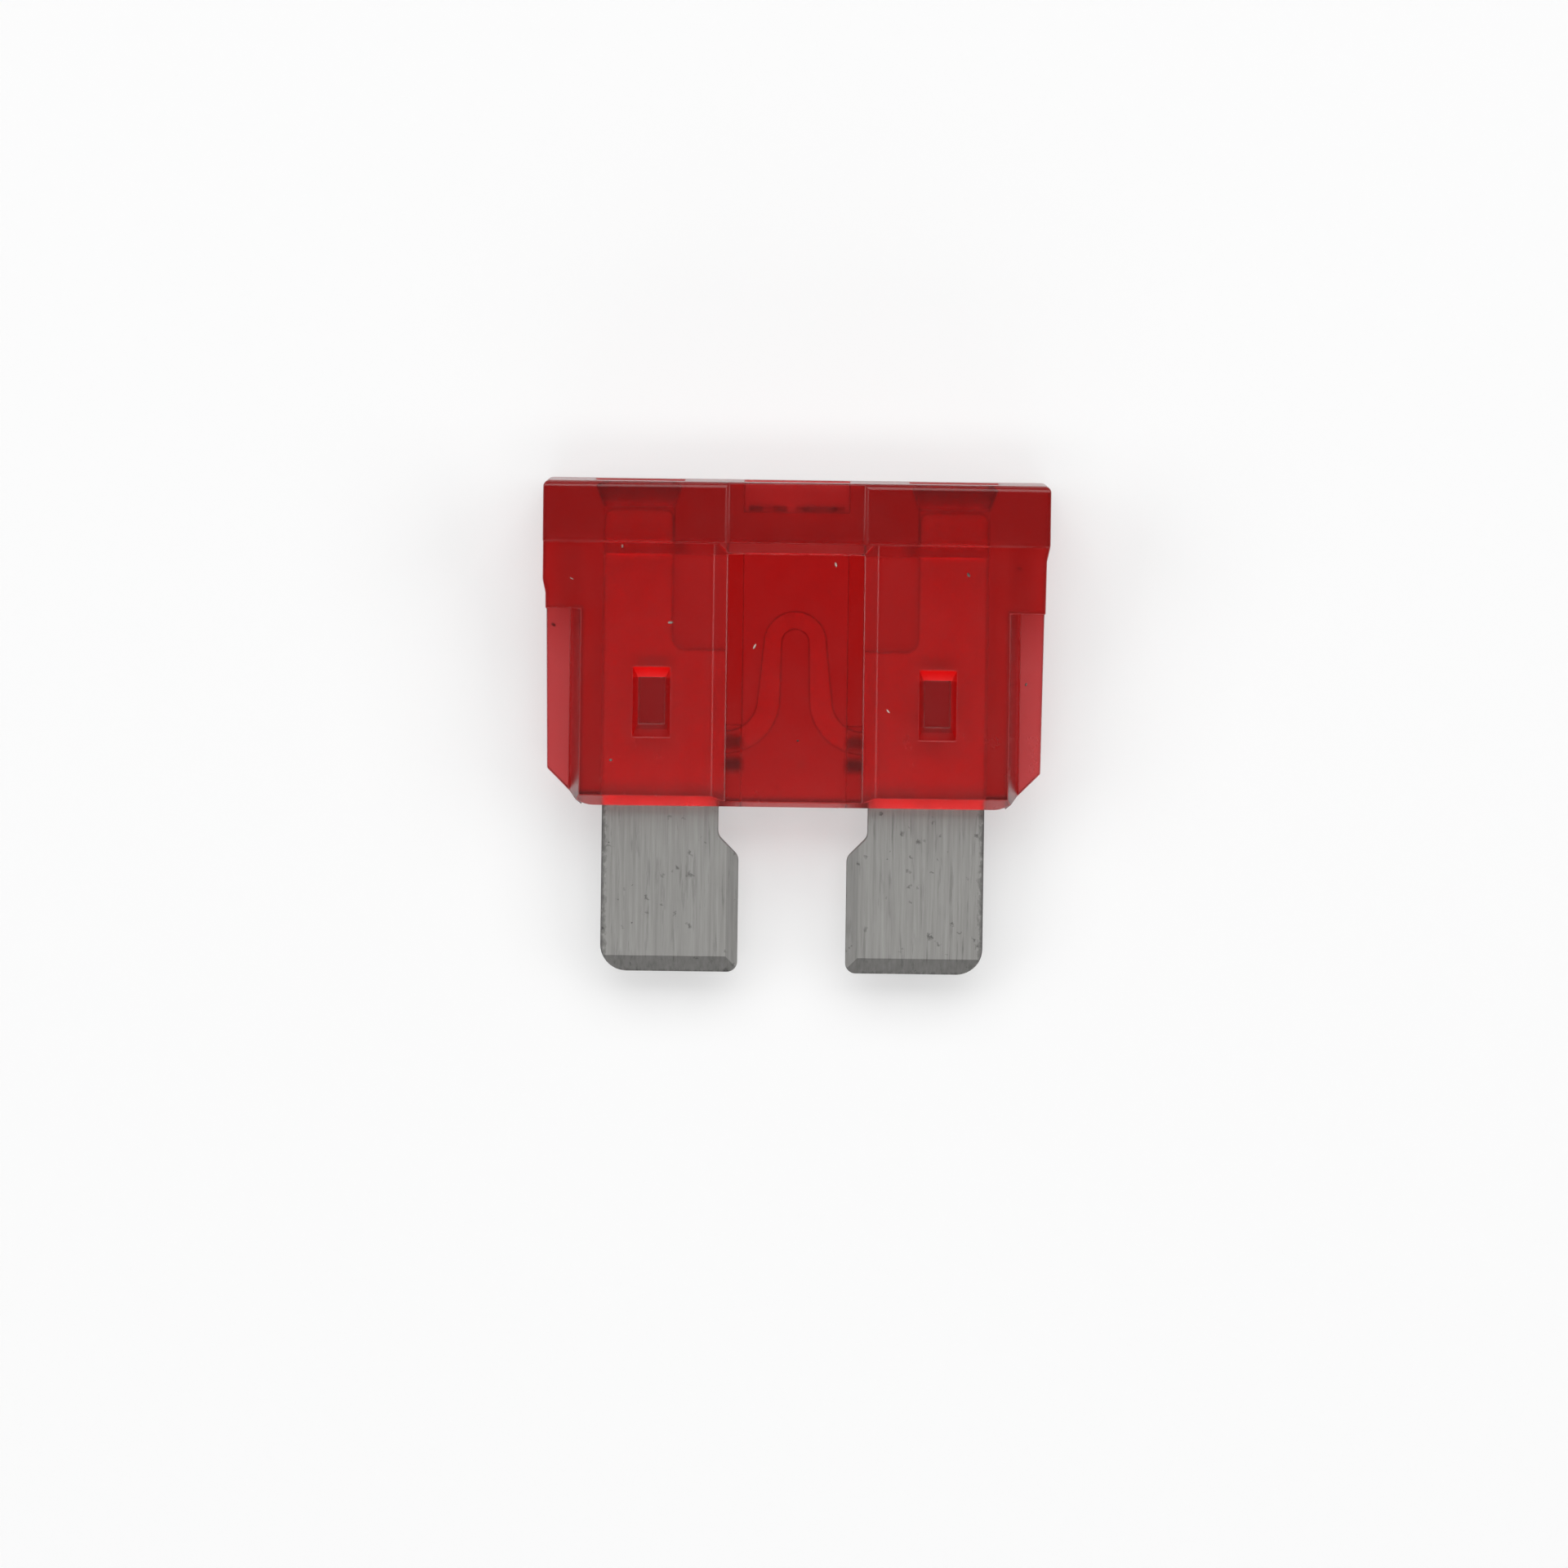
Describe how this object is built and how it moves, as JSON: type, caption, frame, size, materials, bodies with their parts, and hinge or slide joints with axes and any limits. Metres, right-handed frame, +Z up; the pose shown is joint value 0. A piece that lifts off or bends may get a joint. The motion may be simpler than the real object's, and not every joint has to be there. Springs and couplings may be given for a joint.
{
  "type": "automotive blade fuse",
  "caption": "Plug-in blade fuse with a translucent red housing over flat metal blades and a thin arched link that melts to break the circuit.",
  "frame": {"origin": "middle of the fuse's box, on the surface that it lies on", "axes": "+X across the fuse from its left blade to its right one, +Y along the surface towards the head, +Z up out of the front face"},
  "size_m": [0.0192, 0.0188, 0.0052],
  "materials": {
    "red_plastic": "translucent moulded plastic",
    "tinned_zinc": "dull rolled sheet"
  },
  "bodies": {
    "root": {"housing": "red_plastic", "fuse_element": "tinned_zinc"}
  },
  "joints": []
}
